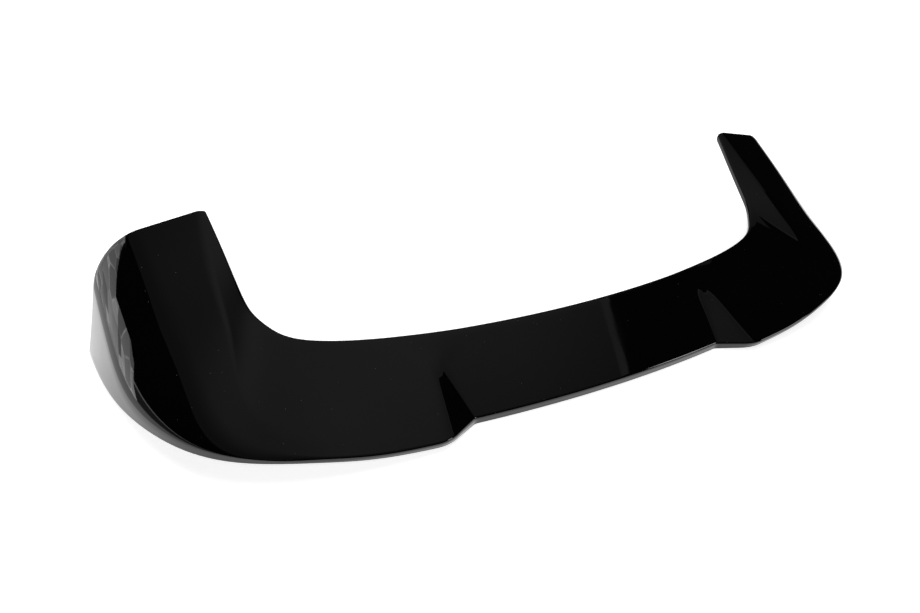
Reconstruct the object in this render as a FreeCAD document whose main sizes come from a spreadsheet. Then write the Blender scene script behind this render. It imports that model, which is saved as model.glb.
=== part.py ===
"""Car spoiler: a U-shaped cap moulded in one piece, open underneath.

It is drawn as it is fitted (X across the car, Y forward from the middle of
the tail, Z up from the leg tips, mm), and then tipped nose up onto the
floor, where it rests on its tail and its two cheeks.

The form is a band that follows the U. At each station an upright section
runs from the inner lip over the top to the foot of the skirt, and lofts
join the stations. The same sections, one wall smaller, make the hollow.
"""
import FreeCAD
import Part
import Sketcher
import os

doc = FreeCAD.newDocument("Spoiler")

# Driving dimensions. A station's name comes first in its own sizes.
SIZES = {
    "wall": 4.0,           # thickness of the moulded skin
    "inner_lip": 7.5,      # height of the turned-down lip on the inner edge
    "inner_round": 3.0,    # reach of the rounding on the inner edge
    "opening": 4.0,        # how far the hollow's tool runs out below
    "front_trim": 15.0,    # how far the last station is cut back at the top
    "front_set": 75.0,     # how far back the cheek's front corner lies
    "front_drop": 166.0,   # and how far down
    "cutter_across": 1600.0,   # the block that trims the front ends
    "cutter_deep": 120.0,
    "cutter_tall": 400.0,
    "rest_tilt": 27.2,     # how far the part lies nose up on the floor
}

# Steps along the inner edge: how far each station lies out and ahead of the
# one before it. The first one, "centre", is on the middle line.
STEPS = {
    "mid": (226, 13.5),
    "step": (4, 0.5),
    "bar": (110, 19.5),
    "rear": (45, 16.5),
    "corner": (25, 23),
    "flank": (13, 24),
    "leg": (5, 28),
    "knee": (5, 57),
    "nose": (8, 70),
}

# Each station: the height of its inner edge and the heading of its section,
# then in the section (distance outward, height) the crease, the edge where
# top and skirt meet, the reach of its roll along the top and its drop along
# the skirt, and the skirt's foot. The crease is measured from the inner edge,
# the edge from the crease and the foot from the edge.
FIELDS = ("z", "heading", "crease_out", "crease_z", "edge_out", "edge_z",
          "roll", "drop", "foot_out", "foot_z")
STATIONS = {
    "centre": (-4, -90, 98, -9.4, 19, -10.5, 3.5, 3.5, 6, -21),
    "mid": (-10.5, -99, 103, -16, 20, -17, 3.5, 3.5, 6, -27),
    "step": (-10, -79.7, 120, -3.3, 24, -2, 3.5, 3.5, 6, -12),
    "bar": (-12, -82, 130, 0, 21, 2, 4, 4, 6, -5.5),
    "rear": (-15, -77.5, 140, 2.5, 16, 4, 5, 5, 6, -3),
    "corner": (-17, -63, 121, -2.5, 48.5, 1, 18.5, 4, 6.5, -9),
    "flank": (-17, -48, 60.5, -2, 114, 2, 52, 25, 10, -30),
    "leg": (-15, -31.5, 38, 0, 127.5, -12, 71, 53, 14, -79),
    "knee": (-8, -19, 25, -1, 121.5, -14, 62.5, 64, 24.5, -143),
    "nose": (1, 0, 5.5, 1.5, 125, -22, 52, 55, 19, -225),
}
BAND = ("step", "bar", "rear", "corner", "flank", "leg", "knee", "nose")

# Rounds: how full the curve is, the part of the wall that a round loses on
# the inside, the least part of it that is kept there, and the most of a
# line that a round takes.
FULLNESS = 0.58
ROUND_LOSS = 0.75
ROUND_LEAST = 0.3
ROUND_MOST = 0.9

for station, (out, ahead) in STEPS.items():
    SIZES[station + "_out"] = out
    SIZES[station + "_ahead"] = ahead
for station, numbers in STATIONS.items():
    for field, number in zip(FIELDS, numbers):
        SIZES[station + "_" + field] = number

sheet = doc.addObject("Spreadsheet::Sheet", "Sizes")
for row, (name, number) in enumerate(SIZES.items(), start=1):
    sheet.set("A%d" % row, name)
    sheet.set("B%d" % row, str(number))
    sheet.setAlias("B%d" % row, name)
doc.recompute()


def size(name):
    """A driving dimension, read back from the sheet."""
    return float(sheet.get(name))


def along(station, way):
    """How far a station lies out or ahead, as the sum of the steps up to it."""
    names = list(STATIONS)
    steps = names[1:names.index(station) + 1]
    return "(0" + "".join(" + Sizes.%s_%s" % (step, way) for step in steps) + ")"


def rounded(before, at, after, reaches):
    """Two tangent points and the cubic curve that rounds the corner `at`."""
    one = (before - at).normalize() * reaches[0]
    two = (after - at).normalize() * reaches[1]
    poles = [at + one, at + one * (1 - FULLNESS), at + two * (1 - FULLNESS), at + two]
    curve = Part.BSplineCurve(poles, [4, 4], [0, 1], False, 3, [1, 1, 1, 1], False)
    return poles[0], poles[3], curve


def section(station, hollow, side=1):
    """The closed sketch of one station, or of its hollow one wall smaller."""
    point = FreeCAD.Vector
    inset = size("wall") if hollow else 0
    below = size("opening") if hollow else 0
    v = {field: size(station + "_" + field) for field in FIELDS}
    edge_at = v["crease_out"] + v["edge_out"]
    inner = point(inset, v["z"] - inset)
    lip = point(inset, v["z"] - size("inner_lip") - below)
    crease = point(v["crease_out"], v["crease_z"] - inset)
    edge = point(edge_at - inset, v["edge_z"] - inset)
    foot = point(edge_at + v["foot_out"] - inset, v["foot_z"] - below)

    def reach(outside):
        return max(outside - ROUND_LOSS * inset, ROUND_LEAST * outside)

    skirt = point(v["foot_out"], v["foot_z"] - v["edge_z"]).Length
    roll = reach(min(v["roll"], ROUND_MOST * v["edge_out"]))
    drop = reach(min(v["drop"], ROUND_MOST * skirt))
    inner_round = reach(size("inner_round"))

    name = station + ("_hollow" if hollow else "_form") + ("" if side > 0 else "_left")
    sketch = doc.addObject("Sketcher::SketchObject", name)
    own = "Sizes." + station + "_"
    heading = own + "heading" if side > 0 else "-180 - " + own + "heading"
    foot_of_plane = "vector(%d * %s; %s; 0)" % (side, along(station, "out"), along(station, "ahead"))
    upright = "rotation(%s; 0; 90)" % heading
    sketch.setExpression("Placement", "placement(%s; %s)" % (foot_of_plane, upright))

    in_start, in_end, in_curve = rounded(lip, inner, crease, (inner_round, inner_round))
    roll_start, roll_end, roll_curve = rounded(crease, edge, foot, (roll, drop))
    for shape in (Part.LineSegment(lip, in_start), in_curve, Part.LineSegment(in_end, crease),
                  Part.LineSegment(crease, roll_start), roll_curve,
                  Part.LineSegment(roll_end, foot), Part.LineSegment(foot, lip)):
        sketch.addGeometry(shape, False)
    sketch.addGeometry(Part.Point(inner), True)
    sketch.addGeometry(Part.Point(edge), True)
    LIP, INNER_CURVE, FACET, TOP, ROLL, SKIRT, BASE, INNER, EDGE = range(9)
    START, END = 1, 2

    def tie(*rule):
        sketch.addConstraint(Sketcher.Constraint(*rule))

    tie("Coincident", BASE, END, LIP, START)
    tie("Coincident", FACET, END, TOP, START)
    tie("Coincident", SKIRT, END, BASE, START)
    tie("Coincident", LIP, END, INNER_CURVE, START)
    tie("Coincident", INNER_CURVE, END, FACET, START)
    tie("Coincident", TOP, END, ROLL, START)
    tie("Coincident", ROLL, END, SKIRT, START)
    tie("Vertical", LIP)
    tie("PointOnObject", INNER, START, LIP)
    tie("PointOnObject", INNER, START, FACET)
    tie("PointOnObject", EDGE, START, TOP)
    tie("PointOnObject", EDGE, START, SKIRT)

    def drive(expression, rule, *spots):
        """A dimension of the sketch, bound to the sheet."""
        here, there = sketch.getPoint(*spots[:2]), sketch.getPoint(*spots[2:])
        span = {"DistanceX": there.x - here.x, "DistanceY": there.y - here.y,
                "Distance": (there - here).Length}
        tie(rule, *spots, span[rule])
        last = sketch.ConstraintCount - 1
        sketch.renameConstraint(last, "d%d" % last)
        sketch.setExpression("Constraints.d%d" % last, expression)

    origin = (-1, START)
    inward = " - Sizes.wall" if hollow else ""
    downward = " - Sizes.opening" if hollow else ""
    within = "max({0} - %g * Sizes.wall; %g * {0})" % (ROUND_LOSS, ROUND_LEAST) if hollow else "{0}"
    edge_line = own + "crease_out + " + own + "edge_out"
    top = own + "edge_out"
    skirt_line = "sqrt({0}foot_out^2 + ({0}edge_z - {0}foot_z)^2)".format(own)
    most = "min(%s; " + "%g * " % ROUND_MOST + "%s)"
    drive("Sizes.wall" if hollow else "0", "DistanceX", *origin, INNER, START)
    drive(own + "z" + inward, "DistanceY", *origin, INNER, START)
    drive(own + "z - Sizes.inner_lip" + downward, "DistanceY", *origin, LIP, START)
    drive(own + "crease_out", "DistanceX", *origin, TOP, START)
    drive(own + "crease_z" + inward, "DistanceY", *origin, TOP, START)
    drive(edge_line + inward, "DistanceX", *origin, EDGE, START)
    drive(own + "edge_z" + inward, "DistanceY", *origin, EDGE, START)
    drive(edge_line + " + " + own + "foot_out" + inward, "DistanceX", *origin, SKIRT, END)
    drive(own + "foot_z" + downward, "DistanceY", *origin, SKIRT, END)
    for line, end in ((LIP, END), (FACET, START)):
        drive(within.format("Sizes.inner_round"), "Distance", INNER, START, line, end)
    drive(within.format(most % (own + "roll", top)), "Distance", EDGE, START, TOP, END)
    drive(within.format(most % (own + "drop", skirt_line)), "Distance", EDGE, START, SKIRT, START)
    return sketch


def loft(name, sketches, ruled=False):
    feature = doc.addObject("Part::Loft", name)
    feature.Sections = sketches
    feature.Solid = True
    feature.Ruled = ruled
    feature.MaxDegree = 3
    return feature


def mirrored(source):
    feature = doc.addObject("Part::Mirroring", source.Name + "_left")
    feature.Source = source
    feature.Normal = (1, 0, 0)
    return feature


def band(name, hollow):
    """Tail, step ramps and outer bands as lofts, with the far side mirrored."""
    right = {station: section(station, hollow) for station in STATIONS}
    mid_left = section("mid", hollow, side=-1)
    tail = loft(name + "_tail", [mid_left, right["centre"], right["mid"]])
    ramp = loft(name + "_ramp", [right["mid"], right["step"]], ruled=True)
    flank = loft(name + "_band", [right[station] for station in BAND])
    whole = doc.addObject("Part::MultiFuse", name)
    whole.Shapes = [tail, ramp, flank, mirrored(ramp), mirrored(flank)]
    doc.recompute()
    return whole


def front_cutter():
    """A block in front of the raked front ends of the legs."""
    block = doc.addObject("Part::Box", "front_cutter")
    block.setExpression("Length", "Sizes.cutter_across")
    block.setExpression("Width", "Sizes.cutter_deep")
    block.setExpression("Height", "Sizes.cutter_tall")
    rake = "atan(Sizes.front_set / Sizes.front_drop)"
    top = along("nose", "ahead") + " - Sizes.front_trim"
    low = "-0.8 * Sizes.cutter_tall"
    back = "%s + %s * sin(%s)" % (top, low, rake)
    corner = "vector(-0.5 * Sizes.cutter_across; %s; %s * cos(%s))" % (back, low, rake)
    lean_back = "rotation(vector(1; 0; 0); -%s)" % rake
    block.setExpression("Placement", "placement(%s; %s)" % (corner, lean_back))
    return block


form = band("form", hollow=False)
inside = band("inside", hollow=True)
trimmed = doc.addObject("Part::Cut", "trimmed")
trimmed.Base = form
trimmed.Tool = front_cutter()
cap = doc.addObject("Part::Cut", "spoiler_cap")
cap.Label = "spoiler_cap"
cap.Base = trimmed
cap.Tool = inside
doc.recompute()

for item in doc.Objects:
    faulty = "Invalid" in item.State or "Error" in item.State
    if hasattr(item, "Shape"):
        faulty = faulty or item.Shape.isNull() or not item.Shape.isValid()
    if faulty:
        raise SystemExit("%s did not build: %s" % (item.Name, item.State))

# Tip it onto the floor, with the origin under the middle of its box.
lean = FreeCAD.Rotation(FreeCAD.Vector(1, 0, 0), size("rest_tilt"))
cap.Placement = FreeCAD.Placement(FreeCAD.Vector(), lean)
points = cap.Shape.tessellate(0.5)[0]
middle = (min(p.y for p in points) + max(p.y for p in points)) / 2
lowest = min(p.z for p in points)
cap.Placement = FreeCAD.Placement(FreeCAD.Vector(0, -middle, -lowest), lean)
doc.recompute()

os.makedirs("parts", exist_ok=True)
cap.Shape.exportStep("parts/spoiler_cap.step")
print("solids", len(cap.Shape.Solids), "volume %.0f cm3" % (cap.Shape.Volume / 1000), cap.Placement)
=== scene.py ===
import math

import bpy
import numpy as np
from mathutils import Matrix, Vector


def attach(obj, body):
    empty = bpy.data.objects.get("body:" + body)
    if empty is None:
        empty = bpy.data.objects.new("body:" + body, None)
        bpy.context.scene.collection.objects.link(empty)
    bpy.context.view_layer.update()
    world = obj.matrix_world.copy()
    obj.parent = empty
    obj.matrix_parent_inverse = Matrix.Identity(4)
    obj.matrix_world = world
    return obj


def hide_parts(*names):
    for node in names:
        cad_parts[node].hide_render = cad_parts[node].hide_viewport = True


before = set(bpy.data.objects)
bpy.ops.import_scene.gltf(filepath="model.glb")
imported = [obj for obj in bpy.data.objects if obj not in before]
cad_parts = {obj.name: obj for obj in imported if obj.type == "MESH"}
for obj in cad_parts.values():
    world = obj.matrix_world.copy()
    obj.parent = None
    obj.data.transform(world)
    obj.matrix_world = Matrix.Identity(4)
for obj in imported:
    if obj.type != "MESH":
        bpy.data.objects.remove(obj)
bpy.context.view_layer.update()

MM = 0.001

# The cap's driving sizes, in mm, in the frame of the fitted part: X across
# the car, Y forward from the middle of the tail, Z up from the leg tips.
WALL = 4.0
INNER_LIP = 7.5
INNER_ROUND = 3.0
CREASE_ROUND = 6.0
RIM_ROUND = 1.0
FRONT_TRIM = 15.0
FRONT_SET = 75.0
FRONT_DROP = 166.0
FRONT_BEVEL = 0.8
REST_TILT = math.radians(27.2)

# The step in the tail: reach of its hollow foot and of its ridge, each at
# the inner edge, on top and at the tail. These three are told apart by the
# ramp's length there, as a share of its longest line. Neither takes more
# than its share of the ramp. The ramp firms up between two lengths of it.
STEP_HOLLOW = (45.0, 14.0, 4.0)
STEP_RIDGE = (45.0, 8.0, 18.0)
STEP_SHARES = (0.08, 0.4, 1.0)
HOLLOW_MOST = 0.65
RIDGE_MOST = 0.3
STEP_RISE = (6.0, 40.0)

# Rounds: fullness of the curve, the part of the wall that a round loses on
# the inside, the least of it kept there, and the most of a line it takes.
# For the crease: the share kept on the inside, and the most of a line.
FULLNESS = 0.58
ROUND_LOSS = 0.75
ROUND_LEAST = 0.3
ROUND_MOST = 0.9
CREASE_INSIDE = 0.3
CREASE_MOST = 0.45

# How far each station lies out and ahead of the one before it.
STEPS = {
    "centre": (0, 0),
    "mid": (226, 13.5),
    "step": (4, 0.5),
    "bar": (110, 19.5),
    "rear": (45, 16.5),
    "corner": (25, 23),
    "flank": (13, 24),
    "leg": (5, 28),
    "knee": (5, 57),
    "nose": (8, 70),
}
# Each station's section: height of the inner edge, heading, then crease,
# edge, roll along the top, drop along the skirt, and foot.
FIELDS = ("z", "heading", "crease_out", "crease_z", "edge_out", "edge_z",
          "roll", "drop", "foot_out", "foot_z")
STATIONS = {
    "centre": (-4, -90, 98, -9.4, 19, -10.5, 3.5, 3.5, 6, -21),
    "mid": (-10.5, -99, 103, -16, 20, -17, 3.5, 3.5, 6, -27),
    "step": (-10, -79.7, 120, -3.3, 24, -2, 3.5, 3.5, 6, -12),
    "bar": (-12, -82, 130, 0, 21, 2, 4, 4, 6, -5.5),
    "rear": (-15, -77.5, 140, 2.5, 16, 4, 5, 5, 6, -3),
    "corner": (-17, -63, 121, -2.5, 48.5, 1, 18.5, 4, 6.5, -9),
    "flank": (-17, -48, 60.5, -2, 114, 2, 52, 25, 10, -30),
    "leg": (-15, -31.5, 38, 0, 127.5, -12, 71, 53, 14, -79),
    "knee": (-8, -19, 25, -1, 121.5, -14, 62.5, 64, 24.5, -143),
    "nose": (1, 0, 5.5, 1.5, 125, -22, 52, 55, 19, -225),
}
# How much of the foot's reach the top surface takes over, so that the tail ends thin.
LIP_TAKEN = {"centre": 0.35, "mid": 0.35, "step": 0.75, "bar": 0.75, "rear": 0.75, "corner": 0.4}
BAND = ("step", "bar", "rear", "corner", "flank", "leg", "knee", "nose")

# Mesh density: segments of each corner and of the straight side after it,
# along the outside from the lip to the foot, and columns of each stretch;
# then how often the search for the front plane halves its step.
CORNER_STEPS = (2, 4, 8, 22, 2)
SIDE_STEPS = (2, 10, 16, 10, 1)
TAIL_COLUMNS = 26
RAMP_COLUMNS = 6
ROUND_COLUMNS = 8
BAND_COLUMNS = (14, 9, 9, 9, 9, 12)
FRONT_COLUMNS = 14
FRONT_HALVINGS = 40


def rounded_corner(before, at, after, reaches, steps):
    """Points of a cubic curve that rounds one corner of a section."""
    one = (before - at) / np.linalg.norm(before - at) * reaches[0]
    two = (after - at) / np.linalg.norm(after - at) * reaches[1]
    a, b, c, d = at + one, at + one * (1 - FULLNESS), at + two * (1 - FULLNESS), at + two
    t = np.linspace(0, 1, steps + 1)[:, None]
    return a * (1 - t) ** 3 + 3 * b * t * (1 - t) ** 2 + 3 * c * t ** 2 * (1 - t) + d * t ** 3


def place(station):
    """Where a station's inner edge is, out and ahead of the tail's middle."""
    names = list(STEPS)
    steps = [STEPS[name] for name in names[:names.index(station) + 1]]
    return sum(step[0] for step in steps), sum(step[1] for step in steps)


def section(station):
    """A station's closed loop in 3-D: over the outside, then back along the inside."""
    v = dict(zip(FIELDS, STATIONS[station]))
    lip = v["z"] - INNER_LIP
    edge_in = v["crease_out"] + v["edge_out"] - WALL
    foot_at = v["crease_out"] + v["edge_out"] + v["foot_out"]
    foot_in = foot_at - WALL
    taken = LIP_TAKEN.get(station, 0)
    edge_at = v["crease_out"] + v["edge_out"] + taken * v["foot_out"]
    edge_z = v["edge_z"] + taken * v["foot_out"] * (v["edge_z"] - v["crease_z"]) / v["edge_out"]
    roll = min(v["roll"], ROUND_MOST * v["edge_out"])
    drop = min(v["drop"], ROUND_MOST * math.hypot(foot_at - edge_at, edge_z - v["foot_z"]))
    crease = min(CREASE_ROUND, CREASE_MOST * v["crease_out"])
    crease_in = CREASE_INSIDE * min(CREASE_ROUND, v["crease_out"])

    def base(at):
        return lip + (v["foot_z"] - lip) * at / foot_at

    def within(reach):
        return max(reach - ROUND_LOSS * WALL, ROUND_LEAST * reach)

    corners = [
        (0, lip, RIM_ROUND, RIM_ROUND),
        (0, v["z"], INNER_ROUND, INNER_ROUND),
        (v["crease_out"], v["crease_z"], crease, crease),
        (edge_at, edge_z, roll, drop),
        (foot_at, v["foot_z"], RIM_ROUND, RIM_ROUND),
        (foot_in, base(foot_in), RIM_ROUND, RIM_ROUND),
        (edge_in, v["edge_z"] - WALL, within(drop), within(roll)),
        (v["crease_out"], v["crease_z"] - WALL, crease_in, crease_in),
        (WALL, v["z"] - WALL, within(INNER_ROUND), within(INNER_ROUND)),
        (WALL, base(WALL), RIM_ROUND, RIM_ROUND),
    ]
    corner_steps = CORNER_STEPS + CORNER_STEPS[::-1]
    side_steps = SIDE_STEPS[:4] + (1,) + SIDE_STEPS[3::-1] + (1,)
    points = [np.array(corner[:2], float) for corner in corners]
    count = len(points)
    rounds = [rounded_corner(points[i - 1], points[i], points[(i + 1) % count],
                             corners[i][2:], corner_steps[i]) for i in range(count)]
    loop = []
    for i, curve in enumerate(rounds):
        after = rounds[(i + 1) % count][0]
        t = np.linspace(0, 1, side_steps[i] + 1)[1:-1, None]
        loop += [curve, curve[-1] * (1 - t) + after * t]
    out, up = np.concatenate(loop).T
    heading = math.radians(v["heading"])
    x, y = place(station)
    return np.stack([x + out * math.cos(heading), y + out * math.sin(heading), up], axis=1)


def spline(knots, values):
    """Natural cubic spline through the sections; its parameter may differ for each point."""
    count = len(knots)
    step = np.diff(knots)
    system = np.eye(count)
    right = np.zeros_like(values)
    for i in range(1, count - 1):
        system[i, i - 1:i + 2] = step[i - 1], 2 * (step[i - 1] + step[i]), step[i]
        right[i] = 6 * ((values[i + 1] - values[i]) / step[i] - (values[i] - values[i - 1]) / step[i - 1])
    bend = np.linalg.solve(system, right.reshape(count, -1)).reshape(values.shape)

    def at(u):
        u = np.broadcast_to(u, values.shape[1])
        i = np.clip(np.searchsorted(knots, u) - 1, 0, count - 2)
        rows = np.arange(values.shape[1])
        h = step[i][:, None]
        a = (knots[i + 1] - u)[:, None] / h
        b = 1 - a
        line = a * values[i, rows] + b * values[i + 1, rows]
        return line + ((a ** 3 - a) * bend[i, rows] + (b ** 3 - b) * bend[i + 1, rows]) * h ** 2 / 6

    return at


def right_half():
    """Columns of the right half, from the middle of the tail to the leg's front end."""
    loops = {station: section(station) for station in STATIONS}
    centre, mid, step = loops["centre"], loops["mid"], loops["step"]
    mid_left = mid * (-1, 1, 1)

    def tail(u):
        return centre + (mid - mid_left) / 2 * u + ((mid + mid_left) / 2 - centre) * u ** 2

    def ramp(w):
        return mid * (1 - w) + step * w

    sections = np.stack([loops[station] for station in BAND])
    gaps = np.sqrt((np.diff(sections, axis=0) ** 2).sum(2).mean(1))
    knots = np.concatenate([[0], np.cumsum(gaps)])
    band = spline(knots, sections)

    def bend(before, at, after, count=ROUND_COLUMNS):
        t = np.linspace(0, 1, count + 2)[1:-1]
        return [before * (1 - s) ** 2 + 2 * at * s * (1 - s) + after * s ** 2 for s in t]

    # The step rises out of the flat: hardly there at the inner edge, with a
    # hollow foot and a firm ridge on top, and a round ridge at the tail.
    ramp_length = np.linalg.norm(step - mid, axis=1)[:, None]
    most = ramp_length.max()
    lengths = [share * most for share in STEP_SHARES]
    hollow_reach = np.interp(ramp_length, lengths, STEP_HOLLOW)
    ridge_reach = np.interp(ramp_length, lengths, STEP_RIDGE)
    hollow = np.minimum(hollow_reach / ramp_length, HOLLOW_MOST)
    ridge = 1 - np.minimum(ridge_reach / ramp_length, RIDGE_MOST)
    # The tail's length at the pace of its last hundredth.
    tail_length = np.linalg.norm(tail(1) - tail(0.99), axis=1)[:, None] * 100
    before_mid = 1 - hollow_reach / tail_length
    past_step = ridge_reach[:, 0]
    firm = bend(tail(before_mid), mid, ramp(hollow))
    firm += [ramp(hollow + (ridge - hollow) * s) for s in np.linspace(0, 1, RAMP_COLUMNS + 1)]
    firm += bend(ramp(ridge), step, band(past_step))
    soft = bend(tail(before_mid), (mid + step) / 2, band(past_step), len(firm))
    rise = np.clip((ramp_length - STEP_RISE[0]) / (STEP_RISE[1] - STEP_RISE[0]), 0, 1)
    rise = rise ** 2 * (3 - 2 * rise)

    columns = [tail(before_mid * s) for s in np.linspace(0, 1, TAIL_COLUMNS + 1)]
    columns += [one * rise + two * (1 - rise) for one, two in zip(firm, soft)]
    starts = [past_step] + list(knots[1:-2])
    for start, end, count in zip(starts, knots[1:-1], BAND_COLUMNS):
        columns += [band(start + (end - start) * s) for s in np.linspace(0, 1, count, endpoint=False)]

    # Each line ends where it meets the raked front plane.
    front = place("nose")[1] - FRONT_TRIM
    near = np.full(len(mid), knots[-2])
    far = np.full(len(mid), knots[-1])
    for _ in range(FRONT_HALVINGS):
        middle = (near + far) / 2
        point = band(middle)
        ahead = point[:, 1] > front + point[:, 2] * FRONT_SET / FRONT_DROP
        near, far = np.where(ahead, near, middle), np.where(ahead, middle, far)
    columns += [band(knots[-2] + (near - knots[-2]) * s) for s in np.linspace(0, 1, FRONT_COLUMNS + 1)]
    return columns


def cap_mesh():
    """The whole cap as one closed mesh, lying on the floor, in metres."""
    right = right_half()
    columns = [column * (-1, 1, 1) for column in right[:0:-1]] + right
    size = len(right[0])
    points = np.concatenate(columns) * MM
    cos, sin = math.cos(REST_TILT), math.sin(REST_TILT)
    y = points[:, 1] * cos - points[:, 2] * sin
    z = points[:, 1] * sin + points[:, 2] * cos
    points = np.stack([points[:, 0], y - (y.min() + y.max()) / 2, z - z.min()], axis=1)

    faces = []
    for c in range(len(columns) - 1):
        here, there = c * size, (c + 1) * size
        faces += [(here + (k + 1) % size, there + (k + 1) % size, there + k, here + k)
                  for k in range(size)]
    last = (len(columns) - 1) * size
    for k in range(size // 2 - 1):
        front = (size - 1 - k, size - 2 - k, k + 1, k)
        faces += [front, tuple(last + i for i in front[::-1])]
    mesh = bpy.data.meshes.new("cap_skin")
    mesh.from_pydata(points.tolist(), [], faces)
    mesh.validate()
    inside = [max(i % size for i in face) >= size // 2 for face in faces]
    return mesh, inside


def link(name, data):
    thing = bpy.data.objects.new(name, data)
    bpy.context.scene.collection.objects.link(thing)
    return thing


class Nodes:
    """Short ways to add and join the nodes of one tree."""

    def __init__(self, tree):
        self.tree = tree
        self.nodes = tree.nodes

    def add(self, kind, **settings):
        node = self.nodes.new(kind)
        for name, value in settings.items():
            setattr(node, name, value)
        return node

    def join(self, source, target):
        self.tree.links.new(source, target)

    def math(self, operation, one, two):
        node = self.add("ShaderNodeMath", operation=operation)
        for socket, value in zip(node.inputs, (one, two)):
            if isinstance(value, (int, float)):
                socket.default_value = value
            else:
                self.join(value, socket)
        return node.outputs[0]

    def noise(self, where, scale, detail=2.0, roughness=0.5):
        node = self.add("ShaderNodeTexNoise")
        node.inputs["Scale"].default_value = scale
        node.inputs["Detail"].default_value = detail
        node.inputs["Roughness"].default_value = roughness
        self.join(where, node.inputs["Vector"])
        return node.outputs["Fac"]

    def ramp(self, fac, low, high, start, end, kind="LINEAR"):
        """Maps fac from low..high to start..end, held at both ends."""
        node = self.add("ShaderNodeMapRange", interpolation_type=kind)
        for name, value in (("From Min", low), ("From Max", high), ("To Min", start), ("To Max", end)):
            node.inputs[name].default_value = value
        self.join(fac, node.inputs["Value"])
        return node.outputs["Result"]

    def tone(self, fac, dark, light):
        """Colour between two tones."""
        node = self.add("ShaderNodeMix", data_type="RGBA")
        node.inputs["A"].default_value = (*dark, 1)
        node.inputs["B"].default_value = (*light, 1)
        self.join(fac, node.inputs["Factor"])
        return next(out for out in node.outputs if out.type == "RGBA")

    def bump(self, height, distance, before=None):
        node = self.add("ShaderNodeBump")
        node.inputs["Strength"].default_value = 1.0
        node.inputs["Distance"].default_value = distance
        self.join(height, node.inputs["Height"])
        if before is not None:
            self.join(before, node.inputs["Normal"])
        return node.outputs["Normal"]


def new_material(name):
    material = bpy.data.materials.new(name)
    material.use_nodes = True
    kit = Nodes(material.node_tree)
    return material, kit, kit.nodes["Principled BSDF"]


def gloss_black():
    """Lacquered black plastic: slight waves and peel, faint smears, sparse dust."""
    material, kit, shader = new_material("gloss_black")
    where = kit.add("ShaderNodeTexCoord").outputs["Object"]
    cloud = kit.noise(where, 14, detail=3)
    smear = kit.ramp(kit.noise(where, 9, detail=5, roughness=0.6), 0.52, 0.72, 0, 1)

    # Dust: small cells with a grain at the middle, kept only in a few of them.
    cells = kit.add("ShaderNodeTexVoronoi")
    cells.inputs["Scale"].default_value = 240
    kit.join(where, cells.inputs["Vector"])
    grain = kit.ramp(cells.outputs["Distance"], 0.09, 0.14, 1, 0)
    split = kit.add("ShaderNodeSeparateColor")
    kit.join(cells.outputs["Color"], split.inputs["Color"])
    kept = kit.math("GREATER_THAN", split.outputs["Red"], 0.97)
    dust = kit.math("MULTIPLY", grain, kept)

    lacquer = kit.tone(cloud, (0.0004, 0.0004, 0.0004), (0.0009, 0.0009, 0.0009))
    dusty = kit.add("ShaderNodeMix", data_type="RGBA")
    kit.join(dust, dusty.inputs["Factor"])
    colours = [socket for socket in dusty.inputs if socket.type == "RGBA"]
    kit.join(lacquer, colours[0])
    colours[1].default_value = (0.05, 0.048, 0.046, 1)
    kit.join(next(out for out in dusty.outputs if out.type == "RGBA"), shader.inputs["Base Color"])

    dull = kit.math("MAXIMUM", kit.ramp(smear, 0, 1, 0.035, 0.085), kit.math("MULTIPLY", dust, 0.6))
    kit.join(dull, shader.inputs["Roughness"])
    shader.inputs["IOR"].default_value = 1.5

    waves = kit.bump(kit.noise(where, 22, detail=1), 0.00012)
    peel = kit.bump(kit.noise(where, 420, detail=2), 0.000006, waves)
    kit.join(peel, shader.inputs["Normal"])
    return material


def underside_black():
    """Bare moulded plastic with a fine grain."""
    material, kit, shader = new_material("underside_black")
    where = kit.add("ShaderNodeTexCoord").outputs["Object"]
    cloud = kit.noise(where, 18, detail=4)
    kit.join(kit.tone(cloud, (0.008, 0.008, 0.0085), (0.016, 0.016, 0.016)), shader.inputs["Base Color"])
    kit.join(kit.ramp(cloud, 0.3, 0.7, 0.48, 0.66), shader.inputs["Roughness"])
    kit.join(kit.bump(kit.noise(where, 900, detail=3), 0.00006), shader.inputs["Normal"])
    return material


mesh, inside = cap_mesh()
mesh.materials.append(gloss_black())
mesh.materials.append(underside_black())
mesh.polygons.foreach_set("material_index", [int(flag) for flag in inside])
mesh.shade_smooth()
cap = link("cap_skin", mesh)
bevel = cap.modifiers.new("front_edges", "BEVEL")
bevel.width = FRONT_BEVEL * MM
bevel.segments = 2
bevel.angle_limit = math.radians(50)
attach(cap, "root")
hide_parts("spoiler_cap")

# Stage: a white sheet under the part, a duller apron beside it, and the
# studio floor round both, which is dim in the part's reflections. Each
# lies one layer below the one before it.
SHEET = (-0.66, 3.2, -1.4, 2.4)
APRON = (-0.8, -0.66, -1.4, 2.4)
FLOOR = (-14.0, 14.0, -14.0, 14.0)
LAYER = 0.001


def flat(name, left, right, near, far, height):
    mesh = bpy.data.meshes.new(name)
    corners = [(left, near, height), (right, near, height), (right, far, height), (left, far, height)]
    mesh.from_pydata(corners, [], [(0, 1, 2, 3)])
    thing = link(name, mesh)
    return thing


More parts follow.
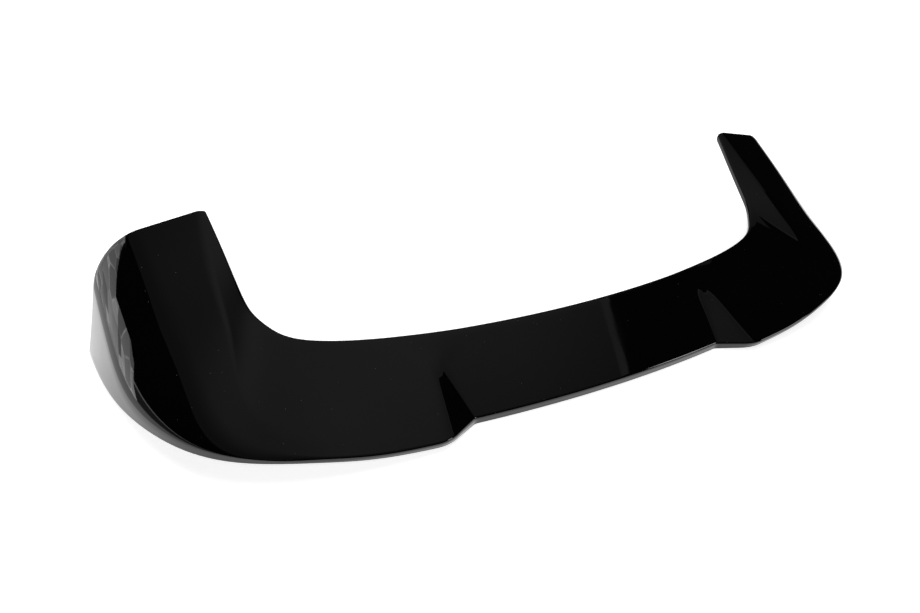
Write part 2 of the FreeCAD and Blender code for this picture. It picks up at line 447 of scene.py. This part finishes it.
def paper(name, tone, camera_lift, gloss_lift):
    """Matt paper, lifted to white as a background."""
    material, kit, shader = new_material(name)
    path = kit.add("ShaderNodeLightPath")
    where = kit.add("ShaderNodeTexCoord").outputs["Object"]
    fibre = kit.noise(where, 60, detail=4)
    kit.join(kit.tone(fibre, (tone * 0.97,) * 3, (tone,) * 3), shader.inputs["Base Color"])
    shader.inputs["Roughness"].default_value = 0.9
    shader.inputs["Specular IOR Level"].default_value = 0.1
    shader.inputs["Emission Color"].default_value = (1, 1, 1, 1)
    mirrored = kit.math("MAXIMUM", path.outputs["Is Glossy Ray"], path.outputs["Is Transmission Ray"])
    lift = kit.math("ADD", kit.math("MULTIPLY", path.outputs["Is Camera Ray"], camera_lift),
                    kit.math("MULTIPLY", mirrored, gloss_lift))
    kit.join(lift, shader.inputs["Emission Strength"])
    return material


sheet = flat("sheet", *SHEET, 0)
sheet.data.materials.append(paper("sheet_paper", tone=0.8, camera_lift=0.78, gloss_lift=1.05))
apron = flat("apron", *APRON, -LAYER)
apron.data.materials.append(paper("apron_paper", tone=0.6, camera_lift=0.85, gloss_lift=0.45))
floor = flat("floor", *FLOOR, -2 * LAYER)
floor.data.materials.append(paper("floor_paper", tone=0.1, camera_lift=0.97, gloss_lift=0.02))

# Light: a dark room with a dim panel overhead, brightest at its heart and
# with a lighter rim, a soft key from behind, a weak fill from the camera's
# side and a faint lamp low on the right for glints. A crumpled film stands
# beside the left leg.
PANEL_HEIGHT = 0.9
PANEL = ((-0.93, -1.5), (0.95, -1.5), (0.735, -0.10), (0.75, -0.065), (0.92, -0.06),
         (1.0, 0.02), (1.06, 0.11), (1.06, 1.2), (-1.0, 1.2))
PANEL_HEART = (0.12, 0.10)
PANEL_FADE = 1.0
PANEL_GLOW = (0.26, 0.085)
RIM = ((0.91, -1.5), (0.95, -1.5), (0.735, -0.10), (0.695, -0.10))
RIM_BELOW = 0.005
RIM_GLOW = 0.2
FILM_X = -0.8
FILM = ((0.12, 0.0), (0.13, 0.05), (0.13, 0.13), (0.15, 0.17), (0.245, 0.165),
        (0.255, 0.30), (0.275, 0.52), (0.9, 0.6), (0.9, 0.0))
FILM_STRETCH = (1, 1.5, 0.7)
FILM_CELLS = 17
FILM_GLOW = (0.8, 2.6)
CREASE_WIDTH = 0.06
CREASE_GLOW = 2.2
ROOM_GLOW = 0.006
WALL_TOP = 0.03


def glowing(name, corners):
    """A flat shape that shines and that the part mirrors; the camera does not see it."""
    mesh = bpy.data.meshes.new(name)
    mesh.from_pydata(corners, [], [tuple(range(len(corners)))])
    thing = link(name, mesh)
    thing.visible_camera = False
    thing.visible_shadow = False
    material = bpy.data.materials.new(name)
    material.use_nodes = True
    mesh.materials.append(material)
    kit = Nodes(material.node_tree)
    kit.nodes.remove(kit.nodes["Principled BSDF"])
    glow = kit.add("ShaderNodeEmission")
    kit.join(glow.outputs[0], kit.nodes["Material Output"].inputs["Surface"])
    return thing, kit, glow.inputs["Strength"]


def sun(name, strength, spread, toward_lamp, glints):
    data = bpy.data.lights.new(name, "SUN")
    data.energy = strength
    data.angle = math.radians(spread)
    lamp = link(name, data)
    lamp.rotation_euler = Vector(toward_lamp).to_track_quat("Z", "Y").to_euler()
    lamp.visible_glossy = glints


_, kit, strength = glowing("ceiling_panel", [(x, y, PANEL_HEIGHT) for x, y in PANEL])
away = kit.add("ShaderNodeVectorMath", operation="DISTANCE")
kit.join(kit.add("ShaderNodeTexCoord").outputs["Object"], away.inputs[0])
away.inputs[1].default_value = (*PANEL_HEART, PANEL_HEIGHT)
kit.join(kit.ramp(away.outputs["Value"], 0, PANEL_FADE, *PANEL_GLOW, "SMOOTHSTEP"), strength)

_, kit, strength = glowing("ceiling_rim", [(x, y, PANEL_HEIGHT - RIM_BELOW) for x, y in RIM])
strength.default_value = RIM_GLOW

film, kit, strength = glowing("crumpled_film", [(FILM_X, y, z) for y, z in FILM])
film.visible_diffuse = False
where = kit.add("ShaderNodeMapping")
where.inputs["Scale"].default_value = FILM_STRETCH
kit.join(kit.add("ShaderNodeTexCoord").outputs["Object"], where.inputs["Vector"])
facets = kit.add("ShaderNodeTexVoronoi")
creases = kit.add("ShaderNodeTexVoronoi", feature="DISTANCE_TO_EDGE")
for cells in (facets, creases):
    cells.inputs["Scale"].default_value = FILM_CELLS
    kit.join(where.outputs[0], cells.inputs["Vector"])
split = kit.add("ShaderNodeSeparateColor")
kit.join(facets.outputs["Color"], split.inputs["Color"])
sheen = kit.ramp(split.outputs["Red"], 0, 1, *FILM_GLOW)
line = kit.math("MULTIPLY", kit.ramp(creases.outputs["Distance"], 0.0, CREASE_WIDTH, CREASE_GLOW, 0),
                kit.ramp(kit.noise(where.outputs[0], 9), 0.4, 0.6, 0, 1))
kit.join(kit.math("ADD", sheen, line), strength)

sun("key", strength=2.6, spread=60, toward_lamp=(0.10, 0.33, 0.94), glints=False)
sun("fill", strength=0.7, spread=30, toward_lamp=(-0.5, -0.6, 0.62), glints=False)
sun("glint", strength=0.22, spread=12, toward_lamp=(0.75, -0.58, 0.33), glints=True)

# World: white behind everything, and low down in reflections; a dark room above.
world = bpy.data.worlds.new("studio")
bpy.context.scene.world = world
world.use_nodes = True
kit = Nodes(world.node_tree)
room = kit.nodes["Background"]
room.inputs["Color"].default_value = (1, 1, 1, 1)
room.inputs["Strength"].default_value = ROOM_GLOW
white = kit.add("ShaderNodeBackground")
white.inputs["Color"].default_value = (1, 1, 1, 1)
white.inputs["Strength"].default_value = 1.0
split = kit.add("ShaderNodeSeparateXYZ")
kit.join(kit.add("ShaderNodeTexCoord").outputs["Generated"], split.inputs["Vector"])
path = kit.add("ShaderNodeLightPath")
mirrored = kit.math("MAXIMUM", path.outputs["Is Glossy Ray"], path.outputs["Is Transmission Ray"])
low = kit.math("MULTIPLY", mirrored, kit.math("LESS_THAN", split.outputs["Z"], WALL_TOP))
backdrop = kit.add("ShaderNodeMixShader")
kit.join(kit.math("MAXIMUM", path.outputs["Is Camera Ray"], low), backdrop.inputs["Fac"])
kit.join(room.outputs[0], backdrop.inputs[1])
kit.join(white.outputs[0], backdrop.inputs[2])
kit.join(backdrop.outputs[0], kit.nodes["World Output"].inputs["Surface"])

# Camera at the photograph's viewing angle. The focal length is in pixels
# of a picture 920 wide.
CAMERA_AT = (-0.6871, -0.7722, 0.7011)
CAMERA_RIGHT = (0.8582, -0.5011, 0.1115)
CAMERA_DOWN = (-0.2028, -0.5304, -0.8231)
FOCAL_PIXELS = 850
PICTURE_WIDTH = 920
SENSOR_WIDTH = 36.0

camera_data = bpy.data.cameras.new("camera")
camera_data.sensor_width = SENSOR_WIDTH
camera_data.lens = FOCAL_PIXELS * SENSOR_WIDTH / PICTURE_WIDTH
camera = link("camera", camera_data)
right_axis = Vector(CAMERA_RIGHT).normalized()
down_axis = Vector(CAMERA_DOWN).normalized()
back_axis = right_axis.cross(-down_axis)
camera.matrix_world = Matrix((
    (right_axis.x, -down_axis.x, back_axis.x, CAMERA_AT[0]),
    (right_axis.y, -down_axis.y, back_axis.y, CAMERA_AT[1]),
    (right_axis.z, -down_axis.z, back_axis.z, CAMERA_AT[2]),
    (0, 0, 0, 1)))
bpy.context.scene.camera = camera
bpy.context.scene.view_settings.view_transform = "Standard"
